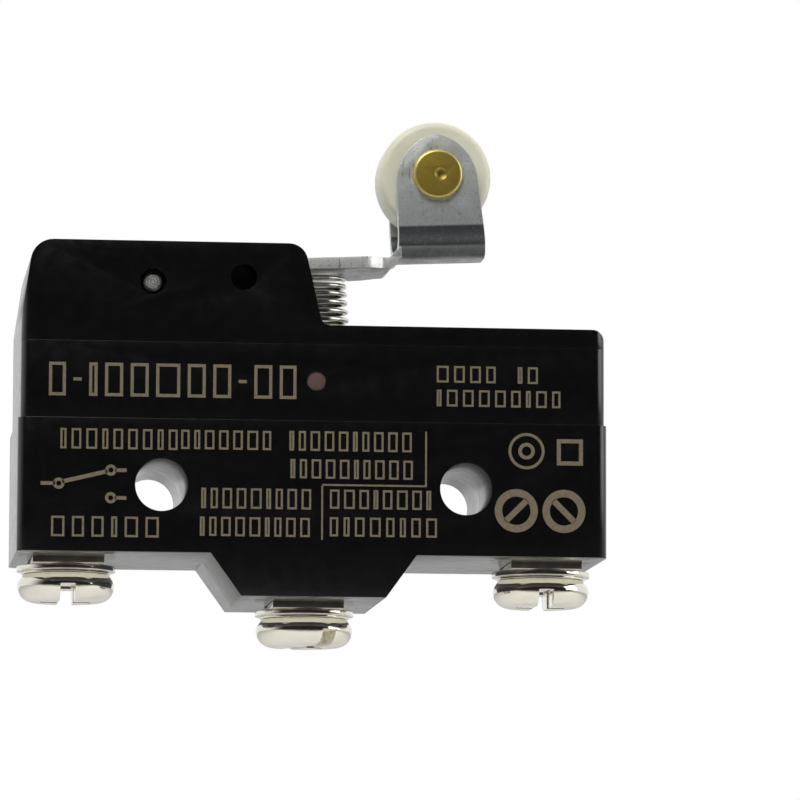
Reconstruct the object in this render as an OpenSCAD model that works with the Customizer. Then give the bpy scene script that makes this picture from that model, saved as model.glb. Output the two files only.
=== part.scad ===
// Snap-action limit switch with a short hinge roller lever, drawn at its free position.
// Origin: midway between the two mounting hole axes, at mid-width. +X runs along the case towards the
// roller end, +Y from the front face to the back face, +Z up towards the roller. Millimetres.

/* [Case] */
// Length of the base case
case_length = 49.2; // [48.8:0.1:51]
// Width of the case from front face to back face
case_width = 17.45; // [17.2:0.05:19]
// Radius of the upright corners of the case
corner_r = 1; // [0.5:0.1:1.3]
// How far the two upper layers stand in from the base at each end
layer_inset = 0.2; // [0.05:0.05:0.4]
// Underside of the base below the hole line
base_drop = 5.59; // [5.3:0.01:5.9]
// Underside of the middle terminal boss below the hole line
boss_drop = 9.13; // [8.8:0.01:9.5]
// Seam between base and middle cover above the hole line
low_seam_z = 5.52; // [5.4:0.01:5.6]
// Seam between middle cover and actuator housing
high_seam_z = 11.94; // [11.8:0.01:12.1]
// Flat top of the actuator housing beside the hump
body_top_z = 13.55; // [13.4:0.01:13.8]
// Top of the hump
hump_top_z = 20.38; // [20.3:0.01:20.8]

/* [Mounting] */
// Distance between the two mounting holes
hole_spacing = 25.4; // [25:0.1:26]
// Diameter of the mounting holes
hole_d = 4.36; // [4.2:0.02:4.4]

/* [Lever] */
// Sheet thickness of the lever
sheet_t = 0.95; // [0.9:0.05:1]
// Lever pivot, distance along the case
pivot_x = -13.54; // [-13.7:0.02:-13.4]
// Lever pivot, height above the hole line
pivot_z = 16.99; // [16.95:0.01:17.02]
// Slope of the lever plate at the free position, in degrees
free_tilt = 2.5; // [2.3:0.1:2.6]
// Width of the lever plate
plate_width = 8.5; // [8:0.1:8.8]
// Outside width of the roller clevis
clevis_width = 7.3; // [7.3:0.05:7.6]
// Diameter of the lever pivot pin
pivot_pin_d = 1.5; // [1.3:0.1:1.6]

/* [Roller] */
// Outside diameter of the roller
roller_d = 9.5; // [9:0.1:9.8]
// Width of the roller
roller_width = 4.8; // [4.4:0.1:4.9]
// Diameter of the rivet the roller turns on
rivet_d = 3; // [2.6:0.1:3.2]

/* [Return spring] */
// Wire diameter of the return spring
wire_d = 0.42; // [0.3:0.02:0.46]
// Outside diameter of the bottom turn
spring_base_d = 6.5; // [6:0.1:6.5]
// Outside diameter of the top turn
spring_top_d = 5.7; // [5:0.1:6]
// Number of turns
spring_turns = 7; // [5:1:8]

/* [Terminals] */
// Distance of the outer terminal screws from the middle one
terminal_spacing = 20.1; // [20:0.05:20.2]
// Nominal thread diameter of the terminal screws
thread_d = 4; // [3.8:0.1:4]
// Diameter of the screw heads
head_d = 8.2; // [7.8:0.1:8.6]
// Diameter of the flat washers
washer_d = 8.3; // [8:0.1:8.6]
// Turn of the middle screw's slot from the width direction, in degrees
middle_slot_turn = 27; // [0:1:90]

/* [Snap mechanism] */
// Diameter of the plunger
plunger_d = 2.8; // [2.4:0.1:2.8]
// Plunger axis, distance along the case
plunger_x = -4.4; // [-4.6:0.05:-4.3]
// Thickness of the snap blade
blade_t = 0.3; // [0.2:0.05:0.3]
// Travel of the moving contact between its two fixed contacts
contact_gap = 0.55; // [0.5:0.05:0.6]

/* [Hidden] */
$fn = 64;

phenolic = [0.055, 0.055, 0.06];
zinc = [0.72, 0.74, 0.77];
nickel = [0.78, 0.75, 0.68];
brass = [0.72, 0.57, 0.2];
copper = [0.78, 0.47, 0.3];
silver = [0.86, 0.86, 0.84];
nylon = [0.93, 0.92, 0.85];

// Running clearance between a shaft and its hole, and between a part and its pocket
run_gap = 0.04;
pocket_gap = 0.05;
// Length that cutting shapes run past the faces they cut
over = 1;

// Case
upper_length = case_length - 2 * layer_inset;
upper_end = upper_length / 2;
half_width = case_width / 2;
boss_top_half = 8.58;
boss_end_half = 6.03;
cavity_half_length = 23.2;
cavity_half_width = 6.6;
cavity_floor_z = 3.5;
cavity_roof_z = 10.5;
hump_left_x = -23.76;
hump_left_z = 13.9;
hump_slope_top_x = -0.93;
hump_slope_foot_x = 0.63;
peg_r = 1;
peg_length = 1.2;
peg_x = 20.5;
peg_y = 5.5;

// Cover lock pin and the two base tabs it holds
lock_x = 0.14;
lock_z = 8.85;
lock_r = 0.8;
lock_recess = 0.1;
tab_half_length = 2.1;
tab_inner_y = 5;
tab_outer_y = 6.5;
tab_top_z = 10.2;

// Lever, in its own frame: u along the plate from the pivot, w square to the plate
plate_w = 1.315;
plate_start_u = -2.2;
shoulder_u = 18.6;
neck_u = 19.9;
neck_width = 6.4;
joggle_start_u = 20.3;
joggle_end_u = 21.5;
clevis_w = 2.2;
clevis_start_u = 21.3;
clevis_end_u = 28.75;
clevis_bend_r = 2.6;
ear_end_u = 28.2;
ear_arc_w = 8.5;
ear_arc_r = 4.25;
ear_arc_shift = 0.8;
roller_u = 24.75;
roller_w = 9.17;
pivot_ear_drop = 1.6;
spring_hole_u = 15.4;
spring_hole_r = 1.4;
dimple_r = 2;
dimple_depth = 0.5;

// Lever chamber in the hump
chamber_half_width = 4.7;
chamber_left_x = -18.2;
chamber_left_roof_z = 19.7;
chamber_right_x = 3;
roof_gap = 0.05;
pin_recess_r = 1.1;
pin_recess_depth = 1.2;
pin_end_depth = 0.45;
blank_x = -5.95;
blank_z = 17.48;
blank_r = 1.1;
blank_depth = 3;

// Roller and rivet
roller_edge_r = 0.6;
front_head_r = 2.1;
front_head_t = 0.55;
back_head_r = 3;
back_head_t = 0.8;
rivet_dimple_r = 0.9;
rivet_dimple_depth = 0.18;
rivet_dimple_x = 0.25;

// Return spring
spring_x = 0.55;
spring_top_z = 18.76;
ring_sides = 8;
rings_per_turn = 24;
end_closing = 0.12;

// Terminals
pad_x = 6;
pad_y = 8;
pad_t = 2;
pad_stand = 0.6;
collar_r = 2.95;
collar_h = 4.2;
leg_t = 0.9;
leg_half_width = 2.5;
outer_pad_z = -base_drop - pad_stand;
middle_pad_z = -boss_drop - pad_stand;
well_half_width = 3;

// Snap mechanism heights
blade_z = 6.6;
blade_clear = 0.05;
contact_x = 17.5;
contact_r = 1.6;
contact_shank_r = 0.8;
contact_face = 0.65;
open_arm_t = 0.8;
open_arm_end_x = 19.2;
closed_arm_z = 8.6;
closed_arm_t = 1;
closed_arm_start_x = 15.6;
common_arm_t = 1;
common_arm_end_x = -17.4;
common_arm_half_width = 4.6;
common_arm_top_z = blade_z - blade_clear;
blade_left_x = -19.6;
blade_window_end_x = -1.2;
blade_shoulder_x = 3;
blade_waist_x = 9;
blade_right_x = 19.4;
blade_rail_half = 4.5;
blade_window_half = 2.5;
blade_arm_half = 2.2;
tongue_half = 1.7;
tongue_left_x = -22;
tongue_bow_start_x = -17.4;
tongue_bow_end_x = -6.4;
tongue_right_x = -2.4;
tongue_bow = 0.8;
tongue_foot_gap = 0.02;
anchor_r = 0.9;
anchor_head_r = 1.7;
anchor_head_h = 0.55;
anchor_tail_h = 0.45;
collar_z = 9.2;
plunger_collar_r = 2.3;
plunger_collar_h = 1.1;
plunger_edge_r = 0.6;
plunger_lever_gap = 0.03;

// Screws and washers
flat_washer_t = 0.45;
spring_washer_t = 0.2;
spring_washer_d = 7.5;
washer_hole_r = 2.1;
head_h = 2.35;
slot_w = 1.25;
slot_depth = 1.3;
cross_w = 1.1;
cross_length = 4.2;
cross_depth = 1.6;
shank_length = 6;
thread_gap = 0.08;

// Height of the lever plate's underside, and of the chamber roof, at a place along the case
function plate_underside_z(x) = pivot_z + (x - pivot_x) * tan(free_tilt) + plate_w / cos(free_tilt);
function roof_z(x) = plate_underside_z(x) + (sheet_t + roof_gap) / cos(free_tilt);

// Points of a polygon whose corner i is rounded with radius radii[i], as arcs of so many steps
function rounded(points, radii, steps = 8) = [
    for (i = [0 : len(points) - 1])
        let (
            corner = points[i],
            before = points[(i + len(points) - 1) % len(points)] - corner,
            after = points[(i + 1) % len(points)] - corner,
            u = before / norm(before),
            v = after / norm(after),
            half = acos(u * v) / 2,
            r = radii[i],
            centre = corner + (u + v) / norm(u + v) * r / sin(half),
            start = corner + u * r / tan(half) - centre,
            sweep = (cross(-u, v) > 0 ? 1 : -1) * (180 - 2 * half)
        )
        each r == 0 ? [corner] : [
            for (s = [0 : steps])
                let (a = sweep * s / steps)
                centre + [
                    start.x * cos(a) - start.y * sin(a),
                    start.x * sin(a) + start.y * cos(a)
                ]
        ]
];

// Extrudes an outline drawn in X and Z along the width, centred
module along_y(length) {
    rotate([90, 0, 0]) linear_extrude(height = length, center = true) children();
}

// A cylinder along the width from y0 to y1
module cylinder_y(r, y0, y1) {
    translate([0, y0, 0]) rotate([-90, 0, 0]) cylinder(r = r, h = y1 - y0);
}

// A block between two opposite corners
module block(low, high) {
    translate(low) cube(high - low);
}

// The plan of a case layer, with round upright corners
module layer_plan(length) {
    inner = length / 2 - corner_r;
    inner_y = half_width - corner_r;
    square([length - 2 * corner_r, case_width], center = true);
    square([length, case_width - 2 * corner_r], center = true);
    for (x = [-inner, inner], y = [-inner_y, inner_y])
        translate([x, y]) circle(corner_r);
}

module base_outline() {
    end = case_length / 2;
    polygon([
        [-end, low_seam_z], [-end, -base_drop],
        [-boss_top_half, -base_drop], [-boss_end_half, -boss_drop],
        [boss_end_half, -boss_drop], [boss_top_half, -base_drop],
        [end, -base_drop], [end, low_seam_z]
    ]);
}

// Opening for a terminal: a pocket for its pad, and a narrower well above it
module terminal_well(x, pad_z) {
    half = pad_x / 2 + pocket_gap;
    pad_half = pad_y / 2 + pocket_gap;
    block([x - half, -pad_half, pad_z - over], [x + half, pad_half, pad_z + pad_t]);
    block([x - half, -well_half_width, pad_z], [x + half, well_half_width, cavity_floor_z + over]);
}

module base_case() {
    color(phenolic) difference() {
        union() {
            difference() {
                intersection() {
                    along_y(case_width) base_outline();
                    translate([0, 0, -boss_drop - over])
                        linear_extrude(height = boss_drop + low_seam_z + 2 * over)
                        layer_plan(case_length);
                }
                block(
                    [-cavity_half_length, -cavity_half_width, cavity_floor_z],
                    [cavity_half_length, cavity_half_width, low_seam_z + over]
                );
            }
            for (side = [-1, 1])
                block(
                    [lock_x - tab_half_length, min(side * tab_inner_y, side * tab_outer_y),
                        cavity_floor_z - over],
                    [lock_x + tab_half_length, max(side * tab_inner_y, side * tab_outer_y), tab_top_z]
                );
        }
        for (x = [-hole_spacing / 2, hole_spacing / 2])
            translate([x, 0, 0]) cylinder_y(hole_d / 2, -half_width - over, half_width + over);
        terminal_well(-terminal_spacing, outer_pad_z);
        terminal_well(0, middle_pad_z);
        terminal_well(terminal_spacing, outer_pad_z);
        translate([lock_x, 0, lock_z]) cylinder_y(lock_r, -tab_outer_y - over, tab_outer_y + over);
    }
}

module middle_cover() {
    color(phenolic) difference() {
        translate([0, 0, low_seam_z])
            linear_extrude(height = high_seam_z - low_seam_z)
            layer_plan(upper_length);
        block(
            [-cavity_half_length, -cavity_half_width, low_seam_z - over],
            [cavity_half_length, cavity_half_width, cavity_roof_z]
        );
        translate([plunger_x, 0, cavity_roof_z - over])
            cylinder(d = plunger_d + 2 * run_gap, h = high_seam_z - cavity_roof_z + 2 * over);
        for (x = [-peg_x, peg_x], y = [-peg_y, peg_y])
            translate([x, y, cavity_roof_z - over])
            cylinder(r = peg_r + pocket_gap, h = high_seam_z - cavity_roof_z + 2 * over);
        translate([lock_x, 0, lock_z]) cylinder_y(lock_r, -half_width - over, half_width + over);
    }
}

module housing_outline() {
    polygon(rounded(
        [
            [-upper_end, high_seam_z], [upper_end, high_seam_z], [upper_end, body_top_z],
            [hump_slope_foot_x, body_top_z], [hump_slope_top_x, hump_top_z],
            [hump_left_x + 0.31, hump_top_z], [-upper_end, hump_left_z]
        ],
        [0, 0, 1.1, 0.8, 1.6, 1.9, 4]
    ));
}

module chamber_outline() {
    polygon([
        [chamber_left_x, body_top_z], [chamber_right_x, body_top_z],
        [chamber_right_x, roof_z(chamber_right_x)], [-9.5, roof_z(-9.5)],
        [-11, chamber_left_roof_z], [chamber_left_x, chamber_left_roof_z]
    ]);
}

module actuator_housing() {
    color(phenolic) {
        difference() {
            intersection() {
                along_y(case_width) housing_outline();
                translate([0, 0, high_seam_z - over])
                    linear_extrude(height = hump_top_z - high_seam_z + 2 * over)
                    layer_plan(upper_length);
            }
            along_y(2 * chamber_half_width) chamber_outline();
            translate([plunger_x, 0, high_seam_z - over])
                cylinder(d = plunger_d + 2 * run_gap, h = body_top_z - high_seam_z + 2 * over);
            translate([pivot_x, 0, pivot_z]) {
                cylinder_y(pivot_pin_d / 2, -half_width - over, half_width + over);
                cylinder_y(pin_recess_r, -half_width - over, -half_width + pin_recess_depth);
                cylinder_y(pin_recess_r, half_width - pin_recess_depth, half_width + over);
            }
            translate([blank_x, 0, blank_z]) {
                cylinder_y(blank_r, -half_width - over, -half_width + blank_depth);
                cylinder_y(blank_r, half_width - blank_depth, half_width + over);
            }
        }
        for (x = [-peg_x, peg_x], y = [-peg_y, peg_y])
            translate([x, y, high_seam_z - peg_length]) cylinder(r = peg_r, h = peg_length + 0.5);
    }
}

module cover_lock_pin() {
    end = half_width - lock_recess;
    color([0.28, 0.17, 0.15]) translate([lock_x, 0, lock_z]) cylinder_y(lock_r, -end, end);
}

// Places children drawn in the lever's own frame
module in_lever_frame() {
    translate([pivot_x, 0, pivot_z]) rotate([0, -free_tilt, 0]) children();
}

module lever_plate() {
    translate([0, 0, plate_w]) linear_extrude(height = sheet_t) polygon(rounded(
        [
            [plate_start_u, -plate_width / 2], [shoulder_u, -plate_width / 2],
            [neck_u, -neck_width / 2], [joggle_start_u, -neck_width / 2],
            [joggle_start_u, neck_width / 2], [neck_u, neck_width / 2],
            [shoulder_u, plate_width / 2], [plate_start_u, plate_width / 2]
        ],
        [0, 2.2, 1, 0, 0, 1, 2.2, 0]
    ));
}

// The smooth step that lifts the clevis above the plate
module lever_joggle() {
    steps = 10;
    step = (joggle_end_u - joggle_start_u) / steps;
    curve = [
        [joggle_start_u - 0.1, plate_w],
        for (i = [0 : steps])
            [joggle_start_u + i * step, plate_w + (clevis_w - plate_w) * (1 - cos(180 * i / steps)) / 2]
    ];
    last = len(curve) - 1;
    along_y(neck_width) polygon(concat(
        curve,
        [for (i = [last : -1 : 0]) curve[i] + [0, sheet_t]]
    ));
}

// The channel section of the clevis, open upwards, drawn in Y and w
module clevis_section() {
    half = clevis_width / 2;
    top = ear_arc_w + ear_arc_r;
    difference() {
        polygon(rounded(
            [[-half, top], [-half, clevis_w], [half, clevis_w], [half, top]],
            [0, clevis_bend_r, clevis_bend_r, 0]
        ));
        polygon(rounded(
            [
                [-half + sheet_t, top + over], [-half + sheet_t, clevis_w + sheet_t],
                [half - sheet_t, clevis_w + sheet_t], [half - sheet_t, top + over]
            ],
            [0, clevis_bend_r - sheet_t, clevis_bend_r - sheet_t, 0]
        ));
    }
}

// Side view of an ear: it widens to its foot, and two arcs meet in a point above the rivet
module ear_outline() {
    polygon([
        [clevis_start_u, 0], [clevis_end_u, 0], [clevis_end_u, clevis_w],
        [ear_end_u, ear_arc_w], [clevis_start_u, ear_arc_w]
    ]);
    intersection() {
        translate([roller_u - ear_arc_shift, ear_arc_w]) circle(ear_arc_r);
        translate([roller_u + ear_arc_shift, ear_arc_w]) circle(ear_arc_r);
    }
}

module lever() {
    pin_hole_r = pivot_pin_d / 2 + run_gap;
    ear_half = -plate_start_u;
    color(zinc) in_lever_frame() difference() {
        union() {
            lever_plate();
            lever_joggle();
            intersection() {
                translate([clevis_start_u, 0, 0]) rotate([90, 0, 90])
                    linear_extrude(height = clevis_end_u - clevis_start_u) clevis_section();
                along_y(clevis_width) ear_outline();
            }
            for (side = [-1, 1])
                translate([0, side * (plate_width - sheet_t) / 2, 0]) along_y(sheet_t) union() {
                    translate([-ear_half, 0]) square([2 * ear_half, plate_w + 0.1]);
                    intersection() {
                        circle(ear_half);
                        translate([-ear_half, -pivot_ear_drop]) square([2 * ear_half, ear_half]);
                    }
                }
            intersection() {
                translate([dimple_u(), 0, plate_w - dimple_depth + dimple_r]) sphere(dimple_r);
                translate([dimple_u() - dimple_r, -dimple_r, plate_w - dimple_depth - over])
                    cube([2 * dimple_r, 2 * dimple_r, dimple_depth + over + 0.2]);
            }
        }
        cylinder_y(pin_hole_r, -plate_width, plate_width);
        translate([spring_hole_u, 0, plate_w - over]) cylinder(r = spring_hole_r, h = sheet_t + 2 * over);
        translate([roller_u, 0, roller_w]) cylinder_y(rivet_d / 2, -clevis_width, clevis_width);
    }
}

// Place of the pressed dimple along the plate, above the plunger
function dimple_u() = (plunger_x - pivot_x) * cos(free_tilt)
    + (plate_underside_z(plunger_x) - pivot_z) * sin(free_tilt);

module lever_pivot_pin() {
    end = half_width - pin_end_depth;
    r = pivot_pin_d / 2;
    color(nickel) translate([pivot_x, 0, pivot_z]) rotate([-90, 0, 0]) translate([0, 0, -end])
        rotate_extrude() polygon([
            [0, 0], [r - 0.2, 0], [r, 0.2], [r, 2 * end - 0.2], [r - 0.2, 2 * end], [0, 2 * end]
        ]);
}

// Centre line of the return spring at a share of its length, with slightly closed ends
function spring_height(share) = share - end_closing * sin(360 * share) / (2 * PI);
function spring_radius(share) =
    (spring_base_d - wire_d + (spring_top_d - spring_base_d) * share) / 2;
function spring_point(share, side) =
    let (
        turn = 360 * spring_turns * share,
        around = 360 * side / ring_sides,
        r = spring_radius(share) + wire_d / 2 * cos(around),
        z = body_top_z + wire_d / 2
            + (spring_top_z - body_top_z - wire_d) * spring_height(share)
            + wire_d / 2 * sin(around)
    )
    [spring_x + r * cos(turn), r * sin(turn), z];

module return_spring() {
    rings = spring_turns * rings_per_turn;
    color(silver) polyhedron(
        points = [
            for (ring = [0 : rings], side = [0 : ring_sides - 1]) spring_point(ring / rings, side)
        ],
        faces = concat(
            [[for (side = [0 : ring_sides - 1]) side]],
            [
                for (ring = [0 : rings - 1], side = [0 : ring_sides - 1])
                    let (next = (side + 1) % ring_sides, a = ring * ring_sides, b = a + ring_sides)
                    [a + side, b + side, b + next, a + next]
            ],
            [[for (side = [ring_sides - 1 : -1 : 0]) rings * ring_sides + side]]
        )
    );
}

// Places children drawn about the roller's axis, with Z running to the back face
module on_roller_axis() {
    in_lever_frame() translate([roller_u, 0, roller_w]) rotate([-90, 0, 0]) children();
}

module roller() {
    bore = rivet_d / 2 + pocket_gap;
    color(nylon) on_roller_axis() translate([0, 0, -roller_width / 2]) rotate_extrude() polygon(rounded(
        [
            [bore, 0], [roller_d / 2, 0],
            [roller_d / 2, roller_width], [bore, roller_width]
        ],
        [0, roller_edge_r, roller_edge_r, 0],
        6
    ));
}

module roller_rivet() {
    half = clevis_width / 2;
    color(brass) on_roller_axis() difference() {
        rotate_extrude() polygon(rounded(
            [
                [0, -half - front_head_t], [front_head_r, -half - front_head_t],
                [front_head_r, -half], [rivet_d / 2, -half], [rivet_d / 2, half],
                [back_head_r, half], [back_head_r, half + back_head_t], [0, half + back_head_t]
            ],
            [0, 0.25, 0, 0, 0, 0, 0.15, 0],
            5
        ));
        translate([rivet_dimple_x, 0, rivet_dimple_depth - rivet_dimple_r - half - front_head_t])
            sphere(rivet_dimple_r);
    }
}

module plunger() {
    foot_z = blade_z + blade_t - blade_clear + tongue_foot_gap;
    top_z = plate_underside_z(plunger_x) - dimple_depth - plunger_lever_gap;
    r = plunger_d / 2;
    color([0.5, 0.2, 0.12]) translate([plunger_x, 0, 0]) {
        translate([0, 0, foot_z]) rotate_extrude() polygon(rounded(
            [[0, 0], [r, 0], [r, top_z - foot_z], [0, top_z - foot_z]],
            [0, 0.2, plunger_edge_r, 0],
            6
        ));
        translate([0, 0, collar_z]) cylinder(r = plunger_collar_r, h = plunger_collar_h);
    }
}

module snap_blade() {
    color(copper) translate([0, 0, blade_z]) linear_extrude(height = blade_t) difference() {
        polygon(rounded(
            [
                [blade_left_x, -blade_rail_half], [blade_shoulder_x, -blade_rail_half],
                [blade_waist_x, -blade_arm_half], [blade_right_x, -blade_arm_half],
                [blade_right_x, blade_arm_half], [blade_waist_x, blade_arm_half],
                [blade_shoulder_x, blade_rail_half], [blade_left_x, blade_rail_half]
            ],
            [0.3, 2, 2, 2, 2, 2, 2, 0.3]
        ));
        translate([blade_left_x - over, -blade_window_half])
            square([blade_window_end_x - blade_left_x + over, 2 * blade_window_half]);
        translate([contact_x, 0]) circle(contact_shank_r);
    }
}

// Height of the tongue's underside: flat where it is clamped and pressed, bowed down between
function tongue_z(x) = common_arm_top_z - (x > tongue_bow_start_x && x < tongue_bow_end_x
    ? tongue_bow * (1 - cos(360 * (x - tongue_bow_start_x) / (tongue_bow_end_x - tongue_bow_start_x))) / 2
    : 0);

module bow_tongue() {
    bow_steps = 20;
    step = (tongue_bow_end_x - tongue_bow_start_x) / bow_steps;
    places = concat(
        [tongue_left_x],
        [for (i = [0 : bow_steps]) tongue_bow_start_x + i * step],
        [tongue_right_x]
    );
    last = len(places) - 1;
    color(copper) difference() {
        along_y(2 * tongue_half) polygon(concat(
            [for (i = [0 : last]) [places[i], tongue_z(places[i])]],
            [for (i = [last : -1 : 0]) [places[i], tongue_z(places[i]) + blade_t]]
        ));
        translate([-terminal_spacing, 0, blade_z - over]) cylinder(r = anchor_r, h = 2 * over);
    }
}

module blade_anchor_rivet() {
    clamp_bottom = common_arm_top_z - common_arm_t;
    clamp_top = common_arm_top_z + blade_t;
    color(brass) translate([-terminal_spacing, 0, 0]) {
        translate([0, 0, clamp_bottom - anchor_tail_h])
            cylinder(r = anchor_r, h = clamp_top - clamp_bottom + anchor_tail_h + anchor_head_h / 2);
        translate([0, 0, clamp_top]) cylinder(r = anchor_head_r, h = anchor_head_h);
        translate([0, 0, clamp_bottom - anchor_tail_h]) cylinder(r = anchor_head_r - 0.2, h = anchor_tail_h);
    }
}

// A contact rivet: a shank from z0 to z1 and a flat face disc from face0 to face1
module contact_rivet(z0, z1, face0, face1) {
    translate([contact_x, 0, z0]) cylinder(r = contact_shank_r, h = z1 - z0);
    translate([contact_x, 0, face0]) cylinder(r = contact_r, h = face1 - face0);
}

module moving_contact() {
    top = blade_z + blade_t;
    color(silver) {
        contact_rivet(blade_z - contact_face, top + contact_face, top, top + contact_face);
        contact_rivet(blade_z - contact_face, blade_z, blade_z - contact_face, blade_z);
    }
}

module normally_open_contact() {
    arm_top = cavity_floor_z + open_arm_t;
    face = blade_z - contact_face - contact_gap;
    color(silver) contact_rivet(cavity_floor_z, face, arm_top, face);
}

module normally_closed_contact() {
    face = blade_z + blade_t + contact_face + blade_clear;
    color(silver) contact_rivet(face, closed_arm_z + closed_arm_t, face, closed_arm_z);
}

// Screw pad of a terminal with its tapped collar; leg_side is where the strip leaves it
module terminal_pad(x, pad_z, leg_side, leg_top) {
    leg_x = x + leg_side * (pad_x - leg_t) / 2;
    difference() {
        union() {
            block([x - pad_x / 2, -pad_y / 2, pad_z], [x + pad_x / 2, pad_y / 2, pad_z + pad_t]);
            translate([x, 0, pad_z]) cylinder(r = collar_r, h = pad_t + collar_h);
            block(
                [leg_x - leg_t / 2, -leg_half_width, pad_z + pad_t - 0.1],
                [leg_x + leg_t / 2, leg_half_width, leg_top]
            );
        }
        translate([x, 0, pad_z - over]) cylinder(d = thread_d, h = pad_t + collar_h + 2 * over);
    }
}

module common_terminal() {
    left = -terminal_spacing - pad_x / 2;
    color(brass) {
        terminal_pad(-terminal_spacing, outer_pad_z, -1, common_arm_top_z);
        difference() {
            block(
                [left, -common_arm_half_width, common_arm_top_z - common_arm_t],
                [common_arm_end_x, common_arm_half_width, common_arm_top_z]
            );
            translate([-terminal_spacing, 0, common_arm_top_z - common_arm_t - over])
                cylinder(r = anchor_r, h = common_arm_t + 2 * over);
        }
    }
}

module normally_open_terminal() {
    arm_top = cavity_floor_z + open_arm_t;
    color(brass) {
        terminal_pad(0, middle_pad_z, 1, arm_top);
        difference() {
            block(
                [pad_x / 2 - leg_t, -blade_arm_half, cavity_floor_z],
                [open_arm_end_x, blade_arm_half, arm_top]
            );
            translate([contact_x, 0, cavity_floor_z - over])
                cylinder(r = contact_shank_r, h = open_arm_t + 2 * over);
        }
    }
}

module normally_closed_terminal() {
    arm_top = closed_arm_z + closed_arm_t;
    color(brass) {
        terminal_pad(terminal_spacing, outer_pad_z, 1, arm_top);
        difference() {
            block(
                [closed_arm_start_x, -leg_half_width, closed_arm_z],
                [terminal_spacing + pad_x / 2, leg_half_width, arm_top]
            );
            translate([contact_x, 0, closed_arm_z - over])
                cylinder(r = contact_shank_r, h = closed_arm_t + 2 * over);
        }
    }
}

// A ring washer whose upper face is at z
module washer(x, z, d, t) {
    translate([x, 0, z - t]) difference() {
        cylinder(d = d, h = t);
        translate([0, 0, -over]) cylinder(r = washer_hole_r, h = t + 2 * over);
    }
}

// A terminal screw, head down, whose flat washer rests on the pad face at pad_z
module terminal_screw(x, pad_z, slot_turn) {
    r = head_d / 2;
    head_top = pad_z - flat_washer_t - spring_washer_t;
    color(nickel) translate([x, 0, head_top]) rotate([0, 0, slot_turn]) {
        cylinder(d = thread_d - 2 * thread_gap, h = pad_z - head_top + shank_length);
        difference() {
            rotate_extrude() polygon(rounded(
                [[0, 0], [0, -head_h], [r - 0.15, -head_h], [r, -0.75], [r - 0.55, 0]],
                [0, 0, 1.35, 0.9, 0.2]
            ));
            block([-slot_w / 2, -r - over, -head_h - over], [slot_w / 2, r + over, slot_depth - head_h]);
            block(
                [-cross_length / 2, -cross_w / 2, -head_h - over],
                [cross_length / 2, cross_w / 2, cross_depth - head_h]
            );
            block(
                [-cross_w / 2, -cross_length / 2, -head_h - over],
                [cross_w / 2, cross_length / 2, cross_depth - head_h]
            );
        }
    }
}

module common_screw() { terminal_screw(-terminal_spacing, outer_pad_z, 0); }
module normally_open_screw() { terminal_screw(0, middle_pad_z, middle_slot_turn); }
module normally_closed_screw() { terminal_screw(terminal_spacing, outer_pad_z, 0); }

module flat_washer(x, pad_z) {
    color(nickel) washer(x, pad_z, washer_d, flat_washer_t);
}
module common_flat_washer() { flat_washer(-terminal_spacing, outer_pad_z); }
module normally_open_flat_washer() { flat_washer(0, middle_pad_z); }
module normally_closed_flat_washer() { flat_washer(terminal_spacing, outer_pad_z); }

module spring_washer(x, pad_z) {
    color(nickel) washer(x, pad_z - flat_washer_t, spring_washer_d, spring_washer_t);
}
module common_spring_washer() { spring_washer(-terminal_spacing, outer_pad_z); }
module normally_open_spring_washer() { spring_washer(0, middle_pad_z); }
module normally_closed_spring_washer() { spring_washer(terminal_spacing, outer_pad_z); }

base_case();
middle_cover();
actuator_housing();
cover_lock_pin();
lever();
lever_pivot_pin();
return_spring();
roller();
roller_rivet();
plunger();
snap_blade();
bow_tongue();
blade_anchor_rivet();
moving_contact();
normally_open_contact();
normally_closed_contact();
common_terminal();
normally_open_terminal();
normally_closed_terminal();
common_screw();
normally_open_screw();
normally_closed_screw();
common_flat_washer();
normally_open_flat_washer();
normally_closed_flat_washer();
common_spring_washer();
normally_open_spring_washer();
normally_closed_spring_washer();
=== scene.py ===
"""Looks for a snap-action limit switch with a roller lever.

Lengths are in metres, or in millimetres times MM.
"""

import math

import bmesh
import bpy
from mathutils import Euler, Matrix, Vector


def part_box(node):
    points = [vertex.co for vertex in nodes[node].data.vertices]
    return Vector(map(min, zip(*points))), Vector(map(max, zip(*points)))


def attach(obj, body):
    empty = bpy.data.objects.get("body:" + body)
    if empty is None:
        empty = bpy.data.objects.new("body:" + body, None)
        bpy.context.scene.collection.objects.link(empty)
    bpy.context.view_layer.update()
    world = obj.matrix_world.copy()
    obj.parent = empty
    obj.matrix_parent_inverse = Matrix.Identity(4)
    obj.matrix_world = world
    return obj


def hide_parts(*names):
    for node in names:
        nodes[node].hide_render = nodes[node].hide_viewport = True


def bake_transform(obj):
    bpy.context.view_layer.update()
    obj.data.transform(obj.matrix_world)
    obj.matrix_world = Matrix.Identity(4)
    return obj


MM = 0.001
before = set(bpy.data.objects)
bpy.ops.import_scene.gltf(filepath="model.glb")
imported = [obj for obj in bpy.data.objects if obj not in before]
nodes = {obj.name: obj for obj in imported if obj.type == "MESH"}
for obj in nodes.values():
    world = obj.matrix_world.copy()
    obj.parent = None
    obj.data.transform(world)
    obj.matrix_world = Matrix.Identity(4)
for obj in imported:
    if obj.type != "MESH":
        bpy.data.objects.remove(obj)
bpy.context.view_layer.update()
front_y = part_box("base_case")[0].y

SCREWS = ("common", "normally_open", "normally_closed")

# The lever's pivot and the roller's axis as (x, z), and the slope of the lever's plate at rest
PIVOT = (-13.54, 16.99)
ROLLER_AXIS = (10.79, 27.23)
LEVER_TILT = math.radians(2.5)


# ---------------------------------------------------------------- camera, world, lights, floor

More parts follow.
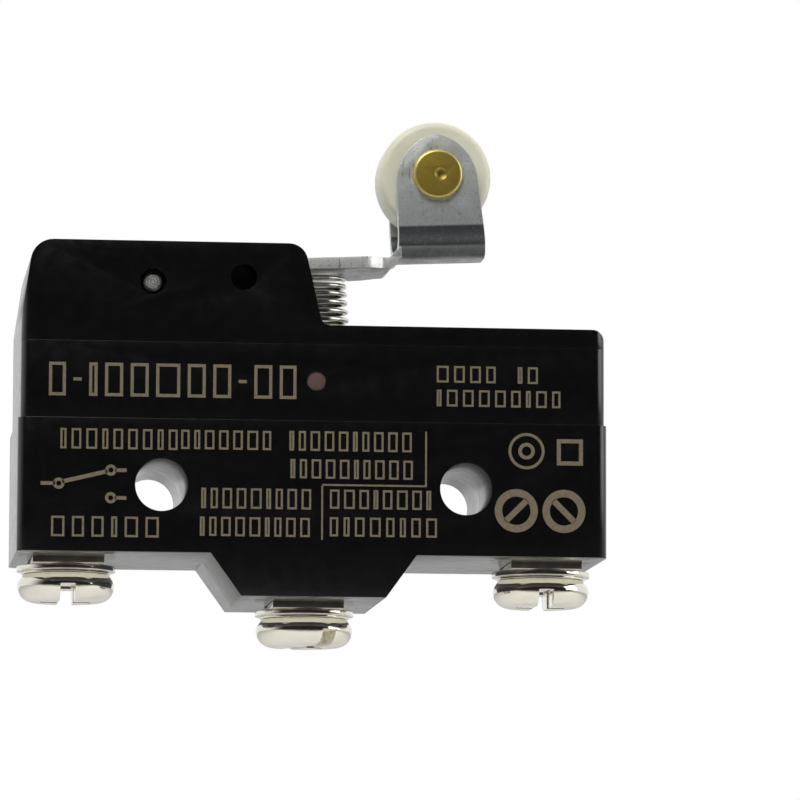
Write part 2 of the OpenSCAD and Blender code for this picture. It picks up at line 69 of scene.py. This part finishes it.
CAMERA_AT = Vector((-44.2, -479.3, -48.0)) * MM
CAMERA_TURN = (96.672, -0.202, -6.248)
CAMERA_LENS = 257.57
FLOOR_Z = -90 * MM
FLOOR_HALF = 3.0
LIGHTS_AIM = Vector((0, 0, 0.01))


def make_camera():
    data = bpy.data.cameras.new("camera")
    data.lens = CAMERA_LENS
    data.sensor_width = 36
    data.clip_start = 0.01
    data.clip_end = 20
    camera = bpy.data.objects.new("camera", data)
    camera.location = CAMERA_AT
    camera.rotation_euler = Euler([math.radians(a) for a in CAMERA_TURN])
    bpy.context.scene.collection.objects.link(camera)
    bpy.context.scene.camera = camera


def make_world():
    """A pale studio behind and above, and a dark room on the camera's side that the black faces mirror."""
    world = bpy.data.worlds.new("studio")
    bpy.context.scene.world = world
    world.use_nodes = True
    tree = world.node_tree
    tree.nodes.clear()
    add = tree.nodes.new
    link = tree.links.new
    where = add("ShaderNodeTexCoord")
    split = add("ShaderNodeSeparateXYZ")
    link(where.outputs["Generated"], split.inputs[0])
    ahead = add("ShaderNodeMapRange")
    ahead.interpolation_type = "SMOOTHSTEP"
    ahead.inputs["From Min"].default_value = -0.6
    ahead.inputs["From Max"].default_value = 0.25
    ahead.inputs["To Min"].default_value = 0.02
    ahead.inputs["To Max"].default_value = 1.0
    link(split.outputs["Y"], ahead.inputs["Value"])
    dim = add("ShaderNodeBackground")
    link(ahead.outputs[0], dim.inputs["Color"])
    dim.inputs["Strength"].default_value = 0.95
    seen = add("ShaderNodeBackground")
    seen.inputs["Color"].default_value = (1, 1, 1, 1)
    seen.inputs["Strength"].default_value = 1.0
    path = add("ShaderNodeLightPath")
    mix = add("ShaderNodeMixShader")
    link(path.outputs["Is Camera Ray"], mix.inputs[0])
    link(dim.outputs[0], mix.inputs[1])
    link(seen.outputs[0], mix.inputs[2])
    out = add("ShaderNodeOutputWorld")
    link(mix.outputs[0], out.inputs[0])


def area_light(name, at, size, power):
    """A rectangular light aimed at the middle of the object."""
    data = bpy.data.lights.new(name, "AREA")
    data.shape = "RECTANGLE"
    data.size, data.size_y = size
    data.energy = power
    light = bpy.data.objects.new(name, data)
    light.location = at
    light.rotation_euler = (LIGHTS_AIM - Vector(at)).to_track_quat("-Z", "Y").to_euler()
    bpy.context.scene.collection.objects.link(light)


def make_floor():
    mesh = bpy.data.meshes.new("floor")
    signs = ((-1, -1), (1, -1), (1, 1), (-1, 1))
    corners = [(x * FLOOR_HALF, y * FLOOR_HALF, FLOOR_Z) for x, y in signs]
    mesh.from_pydata(corners, [], [(0, 1, 2, 3)])
    floor = bpy.data.objects.new("floor", mesh)
    bpy.context.scene.collection.objects.link(floor)
    mesh.materials.append(floor_material())


# ---------------------------------------------------------------- materials


class Shader:
    """A Principled material with short calls for the nodes that feed it. Coordinates are millimetres."""

    def __init__(self, name, **sockets):
        self.material = bpy.data.materials.new(name)
        self.material.use_nodes = True
        self.tree = self.material.node_tree
        self.surface = self.tree.nodes["Principled BSDF"]
        for socket, value in sockets.items():
            self.surface.inputs[socket.replace("_", " ")].default_value = value
        self.place = self.node("ShaderNodeMapping")
        self.place.inputs["Scale"].default_value = (1 / MM, 1 / MM, 1 / MM)
        where = self.node("ShaderNodeTexCoord")
        self.link(where.outputs["Object"], self.place.inputs["Vector"])

    def node(self, kind):
        return self.tree.nodes.new(kind)

    def link(self, source, target):
        self.tree.links.new(source, target)

    def noise(self, scale, detail=3.0, rough=0.55, stretch=(1, 1, 1), distortion=0.0):
        """Noise of so many bumps per millimetre, as a 0 to 1 value."""
        squash = self.node("ShaderNodeMapping")
        squash.inputs["Scale"].default_value = stretch
        self.link(self.place.outputs[0], squash.inputs["Vector"])
        noise = self.node("ShaderNodeTexNoise")
        noise.inputs["Scale"].default_value = scale
        noise.inputs["Detail"].default_value = detail
        noise.inputs["Roughness"].default_value = rough
        noise.inputs["Distortion"].default_value = distortion
        self.link(squash.outputs[0], noise.inputs["Vector"])
        return noise.outputs["Fac"]

    def remap(self, value, low, high, to_low=0.0, to_high=1.0):
        remap = self.node("ShaderNodeMapRange")
        remap.interpolation_type = "SMOOTHSTEP"
        remap.inputs["From Min"].default_value = low
        remap.inputs["From Max"].default_value = high
        remap.inputs["To Min"].default_value = to_low
        remap.inputs["To Max"].default_value = to_high
        self.link(value, remap.inputs["Value"])
        return remap.outputs[0]

    def blend(self, share, first, second):
        """A colour or value between first and second; each is a tuple or a socket."""
        mix = self.node("ShaderNodeMix")
        mix.data_type = "RGBA"
        self.link(share, mix.inputs[0])
        for socket, colour in ((mix.inputs[6], first), (mix.inputs[7], second)):
            if isinstance(colour, tuple):
                socket.default_value = (*colour, 1)
            else:
                self.link(colour, socket)
        return mix.outputs[2]

    def product(self, first, second):
        multiply = self.node("ShaderNodeMath")
        multiply.operation = "MULTIPLY"
        self.link(first, multiply.inputs[0])
        self.link(second, multiply.inputs[1])
        return multiply.outputs[0]

    def scaled(self, value, factor):
        multiply = self.node("ShaderNodeMath")
        multiply.operation = "MULTIPLY"
        multiply.inputs[1].default_value = factor
        self.link(value, multiply.inputs[0])
        return multiply.outputs[0]

    def height(self, direction, origin):
        """Distance of the shaded point from the origin in a direction, in millimetres."""
        shift = self.node("ShaderNodeVectorMath")
        shift.operation = "SUBTRACT"
        shift.inputs[1].default_value = origin
        self.link(self.place.outputs[0], shift.inputs[0])
        dot = self.node("ShaderNodeVectorMath")
        dot.operation = "DOT_PRODUCT"
        dot.inputs[1].default_value = direction
        self.link(shift.outputs[0], dot.inputs[0])
        return dot.outputs["Value"]

    def radius(self, x, z):
        """Distance of the shaded point from an axis along Y, in millimetres."""
        shift = self.node("ShaderNodeVectorMath")
        shift.operation = "MULTIPLY_ADD"
        shift.inputs[1].default_value = (1, 0, 1)
        shift.inputs[2].default_value = (-x, 0, -z)
        self.link(self.place.outputs[0], shift.inputs[0])
        length = self.node("ShaderNodeVectorMath")
        length.operation = "LENGTH"
        self.link(shift.outputs[0], length.inputs[0])
        return length.outputs["Value"]

    def band(self, value, low, high, soft):
        """1 between low and high, with soft ends."""
        return self.product(self.remap(value, low - soft, low), self.remap(value, high, high + soft, 1, 0))

    def facing(self, direction, low, high):
        """1 where the surface faces a direction, 0 where it turns away."""
        where = self.node("ShaderNodeTexCoord")
        dot = self.node("ShaderNodeVectorMath")
        dot.operation = "DOT_PRODUCT"
        dot.inputs[1].default_value = direction
        self.link(where.outputs["Normal"], dot.inputs[0])
        return self.remap(dot.outputs["Value"], low, high)

    def colour(self, source):
        self.link(source, self.surface.inputs["Base Color"])

    def roughness(self, source):
        self.link(source, self.surface.inputs["Roughness"])

    def bump(self, source, depth_mm):
        """Relief of so many millimetres; calls stack on one another."""
        bump = self.node("ShaderNodeBump")
        bump.inputs["Strength"].default_value = 1.0
        bump.inputs["Distance"].default_value = depth_mm * MM
        self.link(source, bump.inputs["Height"])
        normal = self.surface.inputs["Normal"]
        if normal.is_linked:
            self.link(normal.links[0].from_socket, bump.inputs["Normal"])
        self.link(bump.outputs[0], normal)


def floor_material():
    """Pale to the eye; what the metal mirrors of it darkens towards the camera's side of the room."""
    shader = Shader("pale_floor", Roughness=0.75)
    pale = shader.blend(shader.noise(0.004), (0.80, 0.80, 0.79), (0.86, 0.86, 0.85))
    far = shader.remap(shader.height((0, -1, 0), (0, 0, 0)), 130, 330)
    path = shader.node("ShaderNodeLightPath")
    mirrored = shader.blend(far, pale, (0.02, 0.02, 0.02))
    shader.colour(shader.blend(path.outputs["Is Camera Ray"], mirrored, pale))
    return shader.material


def phenolic():
    """Moulded black phenolic: a deep smooth skin with faint cloudy gloss and very fine grain."""
    shader = Shader("case_phenolic", IOR=1.52)
    shader.colour(shader.blend(shader.noise(0.3, 4), (0.0026, 0.0026, 0.0027), (0.0040, 0.0039, 0.0039)))
    shader.roughness(shader.remap(shader.noise(0.9, 5, 0.6), 0.25, 0.75, 0.17, 0.25))
    shader.bump(shader.noise(11, 4, 0.6), 0.0012)
    shader.bump(shader.noise(0.35, 2), 0.004)
    return shader.material


def lock_pin_resin():
    shader = Shader("lock_pin_resin", Roughness=0.5)
    shader.colour(shader.blend(shader.noise(2.5, 4), (0.075, 0.042, 0.040), (0.13, 0.075, 0.070)))
    shader.bump(shader.noise(7, 4), 0.01)
    return shader.material


def zinc_sheet():
    """Zinc plate on pressed sheet: mottled blue-grey with dark pits and streaks, with painted light on it:
    paler towards the top of the ear as a painted highlight, a painted dark band of shade where the bend
    faces forward, and a painted highlight along the plate's front edge.
    """
    shader = Shader("lever_zinc", Metallic=0.62)
    across = shader.height(
        (-math.sin(LEVER_TILT), 0, math.cos(LEVER_TILT)), (PIVOT[0], 0, PIVOT[1])
    )
    front = shader.facing((0, -1, 0), 0.55, 0.85)
    cloud = shader.noise(0.85, 6, 0.7, distortion=0.4)
    speck = shader.noise(4.5, 5, 0.75)
    base = shader.blend(shader.remap(cloud, 0.3, 0.7), (0.40, 0.42, 0.435), (0.60, 0.62, 0.60))
    # Painted highlight: the ear turns paler towards its top, away from the plate.
    pale = shader.blend(shader.remap(across, 5.5, 11), base, (0.66, 0.675, 0.65))
    # Painted shade: a dark band across the bend where it faces forward.
    painted_bend_shade = shader.product(shader.band(across, 3.3, 4.7, 0.25), shader.facing((0, -1, 0), 0.3, 0.6))
    bend_shaded = shader.blend(painted_bend_shade, pale, (0.085, 0.09, 0.095))
    # Painted highlight: the plate's front edge, below the bend, painted near white.
    painted_rim_highlight = shader.product(front, shader.remap(across, 2.25, 2.4, 1, 0))
    edge_highlighted = shader.blend(painted_rim_highlight, bend_shaded, (0.82, 0.82, 0.79))
    pits = shader.remap(speck, 0.56, 0.68)
    streak = shader.remap(shader.noise(2.2, 4, 0.7, stretch=(1.6, 1, 0.12)), 0.60, 0.72)
    shader.colour(shader.blend(streak, shader.blend(pits, edge_highlighted, (0.20, 0.21, 0.23)), (0.22, 0.23, 0.25)))
    shader.roughness(shader.remap(cloud, 0.3, 0.7, 0.46, 0.32))
    shader.bump(speck, 0.010)
    shader.bump(shader.noise(1.6, 3, stretch=(0.3, 1, 1)), 0.010)
    return shader.material


def nickel():
    """Bright nickel plate with a warm tint."""
    shader = Shader("terminal_nickel", Metallic=1.0)
    cloud = shader.noise(0.9, 4)
    shader.colour(shader.blend(cloud, (0.70, 0.67, 0.58), (0.84, 0.81, 0.72)))
    shader.roughness(shader.remap(shader.noise(1.8, 5, 0.7), 0.3, 0.7, 0.06, 0.13))
    shader.bump(shader.noise(1.1, 3), 0.012)
    shader.bump(shader.noise(6, 4), 0.0012)
    return shader.material


def terminal_plate():
    """Dull nickel plate of the terminal strips, smooth enough to mirror the dark room."""
    shader = Shader("terminal_plate", Metallic=1.0)
    cloud = shader.noise(1.1, 5, 0.65)
    shader.colour(shader.blend(cloud, (0.44, 0.41, 0.34), (0.60, 0.56, 0.47)))
    shader.roughness(shader.remap(cloud, 0.3, 0.7, 0.10, 0.19))
    shader.bump(shader.noise(5, 4), 0.003)
    return shader.material


def turned_steel():
    """Pin steel whose cut ends carry fine turning rings."""
    shader = Shader("pin_steel", Metallic=0.75)
    ring = shader.node("ShaderNodeMath")
    ring.operation = "SINE"
    shader.link(shader.scaled(shader.radius(*PIVOT), 26), ring.inputs[0])
    rings = shader.remap(ring.outputs[0], -1, 1)
    shader.colour(shader.blend(rings, (0.42, 0.42, 0.41), (0.80, 0.80, 0.78)))
    shader.roughness(shader.remap(shader.noise(3, 4), 0.3, 0.7, 0.24, 0.38))
    shader.bump(shader.noise(6, 4), 0.004)
    return shader.material


def spring_wire():
    shader = Shader("spring_wire", Metallic=1.0)
    streak = shader.noise(3.5, 5, 0.7, stretch=(0.25, 0.25, 3))
    shader.colour(shader.blend(streak, (0.56, 0.54, 0.47), (0.84, 0.82, 0.74)))
    shader.roughness(shader.remap(streak, 0.3, 0.7, 0.10, 0.20))
    shader.bump(streak, 0.003)
    return shader.material


def nylon():
    shader = Shader("roller_nylon", IOR=1.53)
    surface = shader.surface
    surface.inputs["Subsurface Weight"].default_value = 0.3
    surface.inputs["Subsurface Radius"].default_value = (1.0, 0.85, 0.55)
    surface.inputs["Subsurface Scale"].default_value = 1.2 * MM
    shader.colour(shader.blend(shader.noise(0.5, 4), (0.70, 0.69, 0.54), (0.78, 0.77, 0.63)))
    shader.roughness(shader.remap(shader.noise(2.4, 4), 0.3, 0.7, 0.34, 0.48))
    shader.bump(shader.noise(1.1, 3), 0.012)
    shader.bump(shader.noise(9, 3), 0.003)
    return shader.material


def anchor_brass():
    shader = Shader("anchor_brass", Metallic=1.0)
    cloud = shader.noise(1.3, 6, 0.7, distortion=0.5)
    tarnish = shader.remap(cloud, 0.35, 0.75)
    shader.colour(shader.blend(tarnish, (0.74, 0.56, 0.17), (0.42, 0.29, 0.07)))
    shader.roughness(shader.remap(cloud, 0.3, 0.7, 0.26, 0.42))
    shader.bump(shader.noise(6, 4), 0.006)
    return shader.material


def rivet_brass():
    """Olive brass, with a painted highlight round the rim of the head and painted shade darkening its
    centre dimple.
    """
    shader = Shader("rivet_brass", Metallic=0.8)
    cloud = shader.noise(1.4, 6, 0.7, distortion=0.5)
    base = shader.blend(shader.remap(cloud, 0.35, 0.75), (0.46, 0.33, 0.055), (0.30, 0.21, 0.035))
    # Painted highlight: a pale band round the rim of the head.
    painted_rim_highlight = shader.remap(shader.radius(*ROLLER_AXIS), 1.82, 1.96)
    rim_highlighted = shader.blend(painted_rim_highlight, base, (0.66, 0.54, 0.20))
    # Painted shade: the centre dimple darkened, a little off the axis.
    painted_dimple_shade = shader.remap(shader.radius(ROLLER_AXIS[0] + 0.25, ROLLER_AXIS[1]), 0.12, 0.55, 0.75, 0)
    shader.colour(shader.blend(painted_dimple_shade, rim_highlighted, (0.09, 0.085, 0.02)))
    shader.roughness(shader.remap(cloud, 0.3, 0.7, 0.34, 0.48))
    shader.bump(shader.noise(5, 5, 0.7), 0.008)
    return shader.material


def copper_spring():
    shader = Shader("copper_spring", Metallic=1.0)
    streak = shader.noise(1.6, 5, stretch=(0.2, 2, 1))
    shader.colour(shader.blend(streak, (0.60, 0.33, 0.19), (0.82, 0.52, 0.34)))
    shader.roughness(shader.remap(streak, 0.3, 0.7, 0.24, 0.4))
    shader.bump(streak, 0.005)
    return shader.material


def silver():
    shader = Shader("contact_silver", Metallic=1.0)
    shader.colour(shader.blend(shader.noise(1.4, 4), (0.74, 0.73, 0.70), (0.90, 0.89, 0.87)))
    shader.roughness(shader.remap(shader.noise(3, 4), 0.3, 0.7, 0.2, 0.34))
    shader.bump(shader.noise(5, 3), 0.006)
    return shader.material


def plunger_resin():
    shader = Shader("plunger_resin", IOR=1.52)
    shader.colour(shader.blend(shader.noise(0.8, 4), (0.16, 0.035, 0.02), (0.24, 0.06, 0.035)))
    shader.roughness(shader.remap(shader.noise(2, 4), 0.3, 0.7, 0.28, 0.42))
    shader.bump(shader.noise(7, 3), 0.004)
    return shader.material


def marking_ink():
    """Pale khaki marking, burnt into the surface, with small missing grains."""
    shader = Shader("marking_ink", Roughness=0.62)
    wear = shader.noise(6, 5, 0.7)
    worn = shader.remap(wear, 0.35, 0.7)
    shader.colour(shader.blend(worn, (0.200, 0.165, 0.105), (0.130, 0.105, 0.066)))
    shader.bump(wear, 0.004)
    return shader.material


# ---------------------------------------------------------------- modifiers on the CAD nodes


def node_group(name):
    group = bpy.data.node_groups.new(name, "GeometryNodeTree")
    group.interface.new_socket("Geometry", in_out="INPUT", socket_type="NodeSocketGeometry")
    group.interface.new_socket("Geometry", in_out="OUTPUT", socket_type="NodeSocketGeometry")
    return group, group.nodes.new("NodeGroupInput"), group.nodes.new("NodeGroupOutput")


def welding_group():
    """Drops the imported normals and joins the corners that the import split."""
    group, start, end = node_group("weld_corners")
    drop = group.nodes.new("GeometryNodeRemoveAttribute")
    drop.inputs["Name"].default_value = "custom_normal"
    weld = group.nodes.new("GeometryNodeMergeByDistance")
    weld.inputs["Distance"].default_value = 0.0005 * MM
    group.links.new(start.outputs[0], drop.inputs[0])
    group.links.new(drop.outputs[0], weld.inputs[0])
    group.links.new(weld.outputs[0], end.inputs[0])
    return group


def smoothing_group(limit_deg):
    """Smooth faces, with sharp edges where two faces meet at more than the limit."""
    group, start, end = node_group("smooth_by_angle")
    angle = group.nodes.new("GeometryNodeInputMeshEdgeAngle")
    compare = group.nodes.new("FunctionNodeCompare")
    compare.operation = "GREATER_THAN"
    compare.inputs[1].default_value = math.radians(limit_deg)
    group.links.new(angle.outputs[0], compare.inputs[0])
    socket = start.outputs[0]
    for domain, smooth, chosen in (("FACE", True, None), ("EDGE", True, None), ("EDGE", False, compare)):
        shade = group.nodes.new("GeometryNodeSetShadeSmooth")
        shade.domain = domain
        shade.inputs["Shade Smooth"].default_value = smooth
        if chosen:
            group.links.new(chosen.outputs[0], shade.inputs["Selection"])
        group.links.new(socket, shade.inputs[0])
        socket = shade.outputs[0]
    group.links.new(socket, end.inputs[0])
    return group


SHARP_DEG = 32
FLAT_DEG = 0.3
SOFT_SEGMENTS = 3
WELD = welding_group()
SMOOTH = smoothing_group(SHARP_DEG)


def add_group(obj, group):
    modifier = obj.modifiers.new(group.name, "NODES")
    modifier.node_group = group


def soften(obj, width_mm):
    """Rounds the sharp edges of a piece by so many millimetres."""
    add_group(obj, WELD)
    flat = obj.modifiers.new("flatten", "DECIMATE")
    flat.decimate_type = "DISSOLVE"
    flat.angle_limit = math.radians(FLAT_DEG)
    if width_mm:
        bevel = obj.modifiers.new("soft_edges", "BEVEL")
        bevel.width = width_mm * MM
        bevel.segments = SOFT_SEGMENTS
        bevel.limit_method = "ANGLE"
        bevel.angle_limit = math.radians(SHARP_DEG)
        bevel.use_clamp_overlap = True
        bevel.miter_outer = "MITER_ARC"
    add_group(obj, SMOOTH)


def paint(obj, material):
    obj.data.materials.clear()
    obj.data.materials.append(material)


# ---------------------------------------------------------------- pieces built here


def new_piece(name, build, material):
    """A mesh object filled by build(bm)."""
    bm = bmesh.new()
    build(bm)
    bmesh.ops.recalc_face_normals(bm, faces=bm.faces)
    mesh = bpy.data.meshes.new(name)
    bm.to_mesh(mesh)
    bm.free()
    obj = bpy.data.objects.new(name, mesh)
    bpy.context.scene.collection.objects.link(obj)
    mesh.materials.append(material)
    return obj


def sweep(bm, rings):
    """Joins rings of points, each a list of the same length, into a closed tube."""
    made = [[bm.verts.new(point) for point in ring] for ring in rings]
    count = len(made[0])
    for a, b in zip(made, made[1:]):
        for i in range(count):
            j = (i + 1) % count
            bm.faces.new((a[i], a[j], b[j], b[i]))
    bm.faces.new(list(reversed(made[0])))
    bm.faces.new(made[-1])


WIRE_R = 0.21 * MM
SPRING_TURNS = 7
SPRING_TAPER = 0.4 * MM
STEPS_PER_TURN = 40
WIRE_SIDES = 14
# Share by which the turns close up at the two ends
END_CLOSING = 0.12


def make_return_spring(material):
    """The coil as drawn wire, with a closed turn at each end, between the housing and the lever."""
    low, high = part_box("return_spring")
    base_r = (high.x - low.x) / 2 - WIRE_R
    centre_x = (low.x + high.x) / 2
    foot, top = low.z + WIRE_R, high.z - WIRE_R
    steps = SPRING_TURNS * STEPS_PER_TURN
    up = Vector((0, 0, 1))
    around = [2 * math.pi * k / WIRE_SIDES for k in range(WIRE_SIDES)]

    def build(bm):
        rings = []
        for step in range(steps + 1):
            share = step / steps
            angle = 2 * math.pi * SPRING_TURNS * share
            radius = base_r - SPRING_TAPER * share
            rise = share - END_CLOSING * math.sin(2 * math.pi * share) / (2 * math.pi)
            outward = Vector((math.cos(angle), math.sin(angle), 0))
            middle = Vector((centre_x, 0, foot + (top - foot) * rise)) + radius * outward
            rings.append([middle + WIRE_R * (math.cos(t) * outward + math.sin(t) * up) for t in around])
        sweep(bm, rings)

    spring = new_piece("return_spring_coil", build, material)
    add_group(spring, SMOOTH)
    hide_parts("return_spring")
    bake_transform(spring)


# ---------------------------------------------------------------- markings

INK_THICKNESS = 0.012 * MM
NARROWEST_CELL = 0.4
# Length of a dash, in gaps
DASH_LENGTH = 1.1


class Ink:
    """Strokes on the front face. Points are (x, z) in millimetres."""

    def __init__(self, bm):
        self.bm = bm

    def quad(self, corners):
        outer = [self.bm.verts.new((x * MM, front_y - INK_THICKNESS, z * MM)) for x, z in corners]
        inner = [self.bm.verts.new((x * MM, front_y + INK_THICKNESS, z * MM)) for x, z in corners]
        self.bm.faces.new(outer)
        self.bm.faces.new(list(reversed(inner)))
        for i in range(len(corners)):
            j = (i + 1) % len(corners)
            self.bm.faces.new((outer[i], inner[i], inner[j], outer[j]))

    def line(self, a, b, width):
        along = Vector((b[0] - a[0], b[1] - a[1]))
        side = Vector((-along.y, along.x)).normalized() * width / 2
        a, b = Vector(a), Vector(b)
        self.quad([tuple(a + side), tuple(b + side), tuple(b - side), tuple(a - side)])

    def ring(self, centre, radius, width, steps=40):
        inner, outer = radius - width / 2, radius + width / 2
        for k in range(steps):
            t0 = 2 * math.pi * k / steps
            t1 = 2 * math.pi * (k + 1) / steps
            corners = ((inner, t0), (outer, t0), (outer, t1), (inner, t1))
            self.quad([(centre[0] + r * math.cos(t), centre[1] + r * math.sin(t)) for r, t in corners])

    def box(self, left, right, low, high, width):
        """A closed rectangle of strokes."""
        inset = width / 2
        for z in (low + inset, high - inset):
            self.line((left, z), (right, z), width)
        for x in (left + inset, right - inset):
            self.line((x, low + width), (x, high - width), width)

    def row(self, left, right, low, high, stroke, cells, gap):
        """A row that stands for a printed line: empty cells, each so wide, and short dashes for 0."""
        x = left
        k = 0
        while x < right - NARROWEST_CELL:
            cell = cells[k % len(cells)]
            width = min(cell or DASH_LENGTH * gap, right - x)
            if cell:
                self.box(x, x + width, low, high, stroke)
            else:
                self.line((x, (low + high) / 2), (x + width, (low + high) / 2), stroke)
            x += width + gap
            k += 1


# Rows of the front face: left, right, low, high, stroke, widths of the cells (0 is a dash), gap
ROWS = (
    (-22.1, -0.9, 7.3, 10.1, 0.26, (1.4, 0, 0.7, 1.5, 1.5, 2.0, 1.5, 1.5, 0, 1.5), 0.62),
    (10.2, 15.6, 8.9, 10.3, 0.17, (1.0, 0.9, 0.9, 0.8), 0.45),
    (17.0, 18.7, 8.9, 10.3, 0.17, (0.4, 0.9), 0.45),
    (10.2, 20.6, 6.9, 8.3, 0.17, (0.4, 0.9, 0.9, 0.9, 0.9, 0.8), 0.45),
    (-21.1, -11.4, 2.9, 4.6, 0.17, (0.5, 0.8, 0.9, 0.5, 0.8, 0.8, 0.8), 0.42),
    (-11.1, -3.3, 3.0, 4.6, 0.17, (0.7, 0.5, 0.8, 0.8, 0.8, 0.9), 0.38),
    (-2.1, 8.6, 3.0, 4.65, 0.17, (0.4, 0.6, 0.8, 0.8, 0.8), 0.38),
    (-2.0, 8.6, 0.7, 2.3, 0.17, (0.4, 0.6, 0.8, 0.8, 0.8), 0.38),
    (-9.4, 0.1, -1.9, -0.2, 0.17, (0.4, 0.6, 0.8, 0.8, 0.9), 0.38),
    (-9.5, 0.1, -4.2, -2.6, 0.17, (0.4, 0.6, 0.8, 0.8, 0.9), 0.38),
    (1.3, 9.8, -1.8, -0.2, 0.17, (0.8, 0.9, 0.8, 0.4), 0.38),
    (1.3, 11.0, -4.1, -2.5, 0.17, (0.7, 0.5, 0.8, 0.9), 0.45),
    (-21.8, -12.0, -4.4, -2.7, 0.18, (1.1, 1.0, 1.0, 0.5, 1.1), 0.62),
)


def draw_contact_diagram(ink):
    """A plain changeover contact: one lead and blade on the left, two fixed contacts on the right."""
    hub, upper, lower = (-21.2, 0.0), (-16.9, 1.15), (-16.9, -1.15)
    ink.line((-22.7, 0.0), (-21.5, 0.0), 0.3)
    for centre in (hub, upper, lower):
        ink.ring(centre, 0.34, 0.26)
    ink.line((-20.9, 0.15), (-17.2, 1.05), 0.34)
    ink.line((-16.55, 1.15), (-15.6, 1.15), 0.3)
    ink.line((-16.55, -1.15), (-15.6, -1.15), 0.3)


def draw_screw_signs(ink):
    """Slotted screw heads seen end on, and plain rings and a square above them."""
    z = -1.75
    slot_half = 1.25
    for x, turn in ((16.9, 45), (20.9, -45)):
        ink.ring((x, z), 1.5, 0.62, steps=56)
        reach = Vector((math.cos(math.radians(turn)), math.sin(math.radians(turn)))) * slot_half
        ink.line((x - reach.x, z - reach.y), (x + reach.x, z + reach.y), 0.5)
    ink.ring((17.75, 3.25), 1.4, 0.24, steps=48)
    ink.ring((17.75, 3.25), 0.55, 0.3)
    ink.box(20.3, 22.5, 2.1, 4.3, 0.34)


def make_markings(material):
    def build(bm):
        ink = Ink(bm)
        for row in ROWS:
            ink.row(*row)
        ink.line((9.32, 4.75), (9.32, 0.12), 0.15)
        ink.line((0.66, 0.18), (9.25, 0.18), 0.15)
        ink.line((0.66, 0.1), (0.66, -4.4), 0.15)
        draw_contact_diagram(ink)
        draw_screw_signs(ink)

    marks = new_piece("front_markings", build, material)
    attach(marks, "case")


# ---------------------------------------------------------------- build

bpy.context.scene.view_settings.view_transform = "Standard"
make_camera()
make_world()
make_floor()
area_light("key", (-0.16, -0.34, 0.42), (0.34, 0.26), 2.2)
area_light("fill_right", (0.45, -0.12, 0.16), (0.3, 0.3), 0.7)

PLATE = terminal_plate()
NICKEL = nickel()
CASE = phenolic()
COPPER = copper_spring()
SILVER = silver()
WIRE = spring_wire()

finishes = {
    "base_case": (CASE, 0.16),
    "middle_cover": (CASE, 0.10),
    "actuator_housing": (CASE, 0.14),
    "cover_lock_pin": (lock_pin_resin(), 0.04),
    "lever": (zinc_sheet(), 0.10),
    "lever_pivot_pin": (turned_steel(), 0),
    "roller": (nylon(), 0),
    "roller_rivet": (rivet_brass(), 0.04),
    "plunger": (plunger_resin(), 0),
    "snap_blade": (COPPER, 0.03),
    "bow_tongue": (COPPER, 0.03),
    "blade_anchor_rivet": (anchor_brass(), 0.08),
    "moving_contact": (SILVER, 0.08),
    "normally_open_contact": (SILVER, 0.08),
    "normally_closed_contact": (SILVER, 0.08),
}
for screw in SCREWS:
    finishes[screw + "_terminal"] = (PLATE, 0.08)
    finishes[screw + "_screw"] = (NICKEL, 0.07)
    finishes[screw + "_flat_washer"] = (NICKEL, 0.05)
    finishes[screw + "_spring_washer"] = (NICKEL, 0.04)
for name, (material, edge) in finishes.items():
    paint(nodes[name], material)
    soften(nodes[name], edge)
make_return_spring(WIRE)
make_markings(marking_ink())
